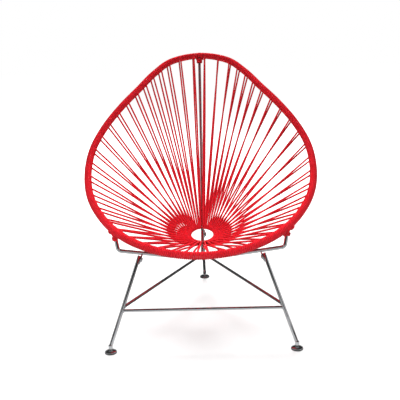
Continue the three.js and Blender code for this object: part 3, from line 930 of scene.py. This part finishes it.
def bolt(name, node_name, seat, into, length):
    """A round-headed bolt with a hexagon socket, its axis along the tab's facing direction."""
    profile = [
        (BOLT_SHANK * BOLT_TIP_SHARE, -length),
        (BOLT_SHANK, -length + BOLT_SHANK * BOLT_CHAMFER_SHARE),
        (BOLT_SHANK, 0),
    ]
    profile += outline(BOLT_HEAD, BOLT_HEAD_HEIGHT, 0, BOLT_HEAD_SHARES)
    screw = turned(name, Vector((0, 0, 0)), profile, sides=40)
    depth = BOLT_HEAD_HEIGHT * BOLT_SOCKET_DEPTH_SHARE
    key = fresh(
        "key",
        bpy.ops.mesh.primitive_cylinder_add,
        vertices=6,
        radius=BOLT_HEAD * BOLT_SOCKET_SHARE,
        depth=2 * depth,
        location=(0, 0, BOLT_HEAD_HEIGHT),
    )
    settle(key)
    combine(screw, key, "DIFFERENCE")
    out = -into
    across = square_to(Y, out)
    lay(screw, across.cross(out), across, out, seat)
    smooth(screw)
    wear(screw, CHROME, replaces=[node_name])


def front_leg(side):
    down = heading(leg_anchors[side], feet[side])
    inward = square_to(-X * SIDE_SIGN[side], down)
    leg(f"chromed_leg_{side}", f"front_leg_{side}", leg_anchors[side] + down * LEG_END_GAP, feet[side])
    base = leg_anchors[side] + inward * (LEG + CLEARANCE)
    tab(f"welded_tab_{side}", f"leg_tab_{side}", base, down, inward, start=BAR * TAB_START_SHARE)
    seat = base + inward * (TAB_THICKNESS + CLEARANCE) + down * BOLT_SETBACK
    grip = TAB_THICKNESS + 2 * CLEARANCE
    bolt(f"socket_bolt_{side}", f"leg_bolt_{side}", seat, -inward, grip + BOLT_REACH)


def rear_leg():
    down = heading(leg_anchors["rear"], feet["rear"])
    leg("chromed_leg_rear", "rear_leg", leg_anchors["rear"] + down * (SPINE + CLEARANCE + LEG), feet["rear"])
    base = leg_anchors["rear"] + X * (SPINE + CLEARANCE)
    tab("welded_tab_rear", "leg_tab_rear", base, down, X)
    seat = base + X * (TAB_THICKNESS + CLEARANCE) + down * BOLT_SETBACK
    grip = TAB_THICKNESS + 2 * CLEARANCE + SPINE - LEG
    bolt("socket_bolt_rear", "leg_bolt_rear", seat, -X, grip + BOLT_REACH)


def where_rear_leg_meets_spine():
    """The spine's place behind the ring that lies on the rear leg's axis."""
    square = X.cross(REAR_LEG_UP)
    places = [spine_curve.place(spine_curve.length * i / SPINE_PLACES) for i in range(SPINE_PLACES)]
    behind = [p for p in places if p.y > ring_centre.y]
    return min(behind, key=lambda p: abs((p - feet["rear"]).dot(square)))


feet = {side: Vector((ball_centres[side].x, ball_centres[side].y, BOSS_MIDDLE)) for side in SIDES}
bar_slope = BAR_CORNER_RISE / (BAR_CORNER_X - BAR_FLAT_HALF)
leg_top_height = BAR_MIDDLE_HEIGHT + (LEG_TOP_X - BAR_FLAT_HALF) * bar_slope
leg_anchors = {
    side: Vector((sign * LEG_TOP_X, bar_end.y, leg_top_height)) for side, sign in SIDE_SIGN.items()
}
leg_anchors["rear"] = where_rear_leg_meets_spine()


def leg_at(side, height):
    foot, top = feet[side], leg_anchors[side]
    return foot.lerp(top, (height - foot.z) / (top.z - foot.z))


def stretcher(name, node_name, start, end, start_leg, end_leg):
    """A rod between two legs, run a little into each, with a weld bead where it meets them."""
    along = heading(start, end)
    inside = LEG * ROD_INSIDE_SHARE
    piece = straight_rod(name, start + along * inside, end - along * inside, STRETCHER)
    smooth(piece)
    wear(piece, CHROME, replaces=[node_name])
    for place, direction, which in ((start, along, start_leg), (end, -along, end_leg)):
        weld_bead(f"weld_{name}_{which}", place + direction * LEG, direction, STRETCHER)


def stretchers():
    low, high = FRONT_STRETCHER_HEIGHT, FRONT_STRETCHER_HEIGHT + 2 * STRETCHER + CLEARANCE
    stretcher("cross_rod", "front_stretcher", leg_at("left", low), leg_at("right", low), "left", "right")
    for side, sign in SIDE_SIGN.items():
        end = leg_at("rear", high) + X * (sign * (STRETCHER + SOLID_CORD))
        stretcher(f"side_rod_{side}", f"side_stretcher_{side}", leg_at(side, high), end, side, "rear")


# The tilting glides


def glide(side):
    """Rubber pad, domed chromed cup and ball-ended stud, turned about the glide's upright axis."""
    place = Vector((ball_centres[side].x, ball_centres[side].y, 0))
    body = f"glide_{side}"
    underside = [(PAD * PAD_HOLLOW_SHARE, PAD_HOLLOW), *outline(PAD, PAD_HEIGHT, 0, PAD_SHARES)]
    pad = turned(f"rubber_pad_{side}", place, [*underside, (CUP * PAD_RECESS_SHARE, PAD_HEIGHT)])
    smooth(pad, degrees=40)
    wear(pad, BLACK, body, [f"glide_pad_{side}"])

    ball = ball_centres[side].z
    socket = BALL + CLEARANCE
    seat = PAD_HEIGHT + CLEARANCE
    lip = socket * LIP_SHARE
    mouth = math.sqrt(socket**2 - lip**2)
    dome = outline(CUP, DOME_HEIGHT, seat, DOME_SHARES)
    dome += [(mouth + CUP_WALL * share, seat + DOME_HEIGHT) for share in MOUTH_RIM_SHARES]
    dome += [(mouth, ball + lip), *outline(socket, socket, ball, SOCKET_SHARES)]
    cup = turned(f"domed_cup_{side}", place, dome, sides=64)
    smooth(cup, degrees=50)
    wear(cup, CHROME, body, [f"glide_cup_{side}"])

    neck = BALL * NECK_SHARE
    angles = np.linspace(BALL_BOTTOM_ANGLE, math.acos(NECK_SHARE), BALL_STEPS)
    stud = [(BALL * math.cos(a), ball + BALL * math.sin(a)) for a in angles]
    stud += [(neck, ball + BALL * NECK_START_SHARE), (neck, BOSS_BOTTOM + BOSS_HEIGHT * STUD_REACH_SHARE)]
    pin = turned(f"ball_stud_{side}", place, stud, sides=32)
    smooth(pin, degrees=40)
    wear(pin, CHROME, replaces=[f"glide_stud_{side}"])


# The lashings

PASS_REACH = 0.35
PASS_STEPS = 36
TURN_STEPS = 24
TUCK_SHARE = 0.4


def lashing(name, node_name, place, tangent, out, rod, passes, turns):
    """Cord wound over a joint: it passes over the rim on either side of the rod, then turns round the rod."""
    if out.dot(tangent) < 0:
        tangent = -tangent
    down = square_to(out, tangent)
    around = tangent.cross(down)
    beside = square_to(tangent, out)
    square, slant = out.dot(down), out.dot(tangent)
    outer = COIL + 2 * WOUND_CORD
    hug = rod + CLEARANCE + WOUND_CORD
    path = []
    steps = passes * PASS_STEPS
    for i in range(steps):
        sweep = -2 * math.pi * passes * (1 - i / steps)
        proud = max(0.0, math.cos(sweep) + PASS_REACH) / (1 + PASS_REACH)
        reach = COIL + 2 * WOUND_CORD * math.sqrt(proud)
        side = (hug - WOUND_CORD * sweep / (2 * math.pi)) * math.cos(sweep / 2) / square
        side += outer * slant / square * proud
        path.append(place + tangent * side + (down * math.cos(sweep) + around * math.sin(sweep)) * reach)
    steps = turns * TURN_STEPS
    drop = (outer + hug * slant) / square
    for i in range(steps + 1):
        turn = 2 * math.pi * turns * i / steps
        centre = place + out * (drop + 2 * WOUND_CORD * turns * i / steps)
        path.append(centre + (beside * math.cos(turn) + around * math.sin(turn)) * hug)
    path.append(path[-1].lerp(centre, TUCK_SHARE) - out * 2 * WOUND_CORD)
    piece = cord_piece(name, [(p, WOUND_CORD) for p in path], sides=12)
    wear(piece, RED, replaces=[node_name])


def lashings():
    spine_down = heading(rim_top, spine_points[1])
    lashing("top_lashing", "cord_lashing_top", rim_top, X, spine_down, SPINE, passes=2, turns=3)
    for side, sign in SIDE_SIGN.items():
        end, corner = (p if sign > 0 else mirrored_x(p) for p in (bar_end, bar_corner))
        tangent, out = rim_direction(-sign * BAR_END_ARC), heading(end, corner)
        lashing(f"bar_lashing_{side}", f"cord_lashing_{side}", end, tangent, out, BAR, passes=3, turns=2)


spine()
cross_bar()
for side in SIDE_SIGN:
    front_leg(side)
rear_leg()
stretchers()
for side in SIDES:
    glide(side)
lashings()
# The rim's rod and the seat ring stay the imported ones, in the same chrome
for name in ("rim_rod", "seat_ring"):
    rod = frame["nodes"][name]
    rod.data.materials.clear()
    rod.data.materials.append(CHROME)


# Stage, light and camera

FLOOR_SIZE = 40
FLOOR_GREY = 0.55
FLOOR_GLOW_NEAR = 0.3
FLOOR_GLOW_FAR = 0.93
FLOOR_GLOW_REACH = 2.5
WORLD_LIGHT = 0.14
# Painted reflections: bands of dark and light that only polished metal sees, in place of the white studio, as
# stops of (height of the direction, grey)
PAINTED_REFLECTION_IN_FRONT = (
    (0.0, 0.7),
    (0.275, 0.65),
    (0.3, 0.03),
    (0.365, 0.03),
    (0.375, 0.7),
    (0.4, 0.7),
    (0.41, 0.03),
)
PAINTED_REFLECTION_BESIDE_FRONT = ((0.0, 0.7), (0.25, 0.6), (0.28, 0.03), (1.0, 0.03))
PAINTED_REFLECTION_AT_SIDES = ((0.0, 0.3), (0.2, 0.05), (0.36, 0.05), (0.42, 0.7), (0.66, 0.7), (0.72, 0.04))
PAINTED_REFLECTION_AROUND = ((0.0, 0.7), (0.2, 0.65), (0.28, 0.03), (1.0, 0.04))
# Where one of these fades into the next: by the direction's distance from the middle, or by its depth
FRONT_TO_BESIDE = (0.25, 0.35)
FRONT_TO_AROUND = (-0.7, -0.5)
AROUND_TO_SIDES = (0.72, 0.8)
# Painted reflection of the floor: the greys that only polished metal sees of it, a bright strip between dark,
# as stops of (share of the way from the far to the near line, grey)
FLOOR_FAR_Y = -1.2
FLOOR_NEAR_Y = -0.2
PAINTED_FLOOR_REFLECTION = ((0.0, 0.05), (0.13, 0.06), (0.23, 0.7), (0.78, 0.7), (0.94, 0.05))


def seen_directly(tree):
    """Two switches: on for rays from the camera and those that a piece mirrors or lets through, off for
    the light itself; and on for mirrored rays alone."""
    path = tree.nodes.new("ShaderNodeLightPath")
    either = tree.nodes.new("ShaderNodeMath")
    either.operation = "MAXIMUM"
    tree.links.new(path.outputs["Is Camera Ray"], either.inputs[0])
    tree.links.new(path.outputs["Is Glossy Ray"], either.inputs[1])
    every = tree.nodes.new("ShaderNodeMath")
    every.operation = "MAXIMUM"
    tree.links.new(either.outputs["Value"], every.inputs[0])
    tree.links.new(path.outputs["Is Transmission Ray"], every.inputs[1])
    return every.outputs["Value"], path.outputs["Is Glossy Ray"]


def over(tree, value, low, high):
    """0 to 1 as a value goes from low to high."""
    made = node(tree, "ShaderNodeMapRange", From_Min=low, From_Max=high)
    tree.links.new(value, made.inputs["Value"])
    return made.outputs["Result"]


def mixed(tree, share, low, high):
    pick = tree.nodes.new("ShaderNodeMixShader")
    tree.links.new(share, pick.inputs["Fac"])
    tree.links.new(low, pick.inputs[1])
    tree.links.new(high, pick.inputs[2])
    return pick.outputs["Shader"]


def pale_floor():
    """A matt floor that glows for the camera, more with distance. Metal sees a painted reflection of it
    instead: one bright strip between dark.
    """
    bpy.ops.mesh.primitive_plane_add(size=FLOOR_SIZE, location=(0, 0, 0))
    floor = bpy.context.object
    floor.name = "floor"
    grey = (FLOOR_GREY, FLOOR_GREY, FLOOR_GREY)
    material, tree, surface = shader("pale_floor", grey, metallic=0.0, roughness=0.9)
    surface.inputs["Specular IOR Level"].default_value = 0.0
    glow = node(tree, "ShaderNodeEmission", Color=(1, 1, 1, 1))
    place = tree.nodes.new("ShaderNodeTexCoord").outputs["Object"]
    away = tree.nodes.new("ShaderNodeVectorMath")
    away.operation = "LENGTH"
    tree.links.new(place, away.inputs[0])
    outwards = over(tree, away.outputs["Value"], 0, FLOOR_GLOW_REACH)
    spread(tree, outwards, FLOOR_GLOW_NEAR, FLOOR_GLOW_FAR, glow.inputs["Strength"])
    both = tree.nodes.new("ShaderNodeAddShader")
    tree.links.new(surface.outputs["BSDF"], both.inputs[0])
    tree.links.new(glow.outputs["Emission"], both.inputs[1])
    seen, glossy = seen_directly(tree)
    # Painted reflection: what polished metal sees of the floor, one bright strip painted between dark
    mirrored = node(tree, "ShaderNodeEmission", Strength=1.0)
    split = tree.nodes.new("ShaderNodeSeparateXYZ")
    tree.links.new(place, split.inputs["Vector"])
    inwards = over(tree, split.outputs["Y"], FLOOR_FAR_Y, FLOOR_NEAR_Y)
    tree.links.new(ramp(tree, inwards, PAINTED_FLOOR_REFLECTION), mirrored.inputs["Color"])
    direct = mixed(tree, glossy, both.outputs["Shader"], mirrored.outputs["Emission"])
    shown = mixed(tree, seen, surface.outputs["BSDF"], direct)
    tree.links.new(shown, tree.nodes["Material Output"].inputs["Surface"])
    floor.data.materials.append(material)


def ramp(tree, source, stops):
    """A grey that changes with a value, through stops of (value, grey)."""
    made = tree.nodes.new("ShaderNodeValToRGB")
    line = made.color_ramp
    while len(line.elements) < len(stops):
        line.elements.new(0.5)
    for element, (place, grey) in zip(line.elements, stops):
        element.position = place
        element.color = (grey, grey, grey, 1)
    tree.links.new(source, made.inputs["Fac"])
    return made.outputs["Color"]


def blended(tree, share, low, high):
    """One colour fading into another."""
    made = tree.nodes.new("ShaderNodeMix")
    made.data_type = "RGBA"
    tree.links.new(share, made.inputs["Factor"])
    tree.links.new(low, made.inputs[MIX_LOW])
    tree.links.new(high, made.inputs[MIX_HIGH])
    return made.outputs[MIX_RESULT]


def studio_world():
    """White to the camera. Polished metal sees painted reflections instead: a dark surround with painted
    bands of light, low down in front and behind and higher up at both sides."""
    world = bpy.data.worlds.new("studio")
    bpy.context.scene.world = world
    world.use_nodes = True
    tree = world.node_tree
    lit = tree.nodes["Background"]
    lit.inputs["Color"].default_value = (1, 1, 1, 1)
    lit.inputs["Strength"].default_value = WORLD_LIGHT
    shown = node(tree, "ShaderNodeBackground", Color=(1, 1, 1, 1), Strength=1.0)
    # Painted reflections: the colour that polished metal sees round it, a dark surround with bands of light,
    # seen only in reflections and lighting nothing
    painted_reflection = node(tree, "ShaderNodeBackground", Strength=1.0)
    direction = tree.nodes.new("ShaderNodeSeparateXYZ")
    tree.links.new(tree.nodes.new("ShaderNodeTexCoord").outputs["Generated"], direction.inputs["Vector"])
    aside = tree.nodes.new("ShaderNodeMath")
    aside.operation = "ABSOLUTE"
    tree.links.new(direction.outputs["X"], aside.inputs[0])
    across, height, depth = aside.outputs["Value"], direction.outputs["Z"], direction.outputs["Y"]
    middle = ramp(tree, height, PAINTED_REFLECTION_IN_FRONT)
    beside = ramp(tree, height, PAINTED_REFLECTION_BESIDE_FRONT)
    front = blended(tree, over(tree, across, *FRONT_TO_BESIDE), middle, beside)
    around = blended(tree, over(tree, depth, *FRONT_TO_AROUND), front, ramp(tree, height, PAINTED_REFLECTION_AROUND))
    whole = blended(tree, over(tree, across, *AROUND_TO_SIDES), around, ramp(tree, height, PAINTED_REFLECTION_AT_SIDES))
    tree.links.new(whole, painted_reflection.inputs["Color"])
    seen, glossy = seen_directly(tree)
    direct = mixed(tree, glossy, shown.outputs["Background"], painted_reflection.outputs["Background"])
    surface = mixed(tree, seen, lit.outputs["Background"], direct)
    tree.links.new(surface, tree.nodes["World Output"].inputs["Surface"])


def lamp(name, place, target, size, power, beam=180, in_metal=False):
    """A square lamp: its size in metres, its power in watts, its beam in degrees."""
    data = bpy.data.lights.new(name, "AREA")
    data.size = size
    data.energy = power
    data.spread = math.radians(beam)
    light = bpy.data.objects.new(name, data)
    bpy.context.scene.collection.objects.link(light)
    light.visible_glossy = in_metal
    light.location = place
    light.rotation_euler = (Vector(target) - Vector(place)).to_track_quat("-Z", "Y").to_euler()


FOCAL_PIXELS = 670
PICTURE_PIXELS = 400
SENSOR = 36
CAMERA_HEIGHT = 0.9364
CAMERA_DISTANCE = 1.913
CAMERA_X = 0.0363
CAMERA_PITCH = math.radians(13.368)
CAMERA_YAW = math.radians(1.029)
CAMERA_ROLL = math.radians(-1.681)


def camera():
    """The photograph's view: in front of the chair, a little above it, tilted down."""
    data = bpy.data.cameras.new("camera")
    data.sensor_width = SENSOR
    data.lens = FOCAL_PIXELS / PICTURE_PIXELS * SENSOR
    view = bpy.data.objects.new("camera", data)
    bpy.context.scene.collection.objects.link(view)
    view.location = at(CAMERA_X, -CAMERA_DISTANCE, CAMERA_HEIGHT)
    turn = Matrix.Rotation(CAMERA_YAW, 3, "Z")
    turn = turn @ Matrix.Rotation(math.pi / 2 - CAMERA_PITCH, 3, "X")
    turn = turn @ Matrix.Rotation(CAMERA_ROLL, 3, "Z")
    view.rotation_euler = turn.to_euler()
    bpy.context.scene.camera = view


pale_floor()
studio_world()
lamp("key", place=(-0.3, -1.7, 1.5), target=(0, -0.36, 0.26), size=0.8, power=5.5, beam=80)
lamp("fill", place=(2.2, -1.4, 1.6), target=(0, 0, 0.4), size=1.2, power=3, in_metal=True)
lamp("top", place=(0, 3.0, 4.4), target=(0, -0.1, 0.3), size=2.5, power=500)
camera()
bpy.context.scene.view_settings.view_transform = "Standard"
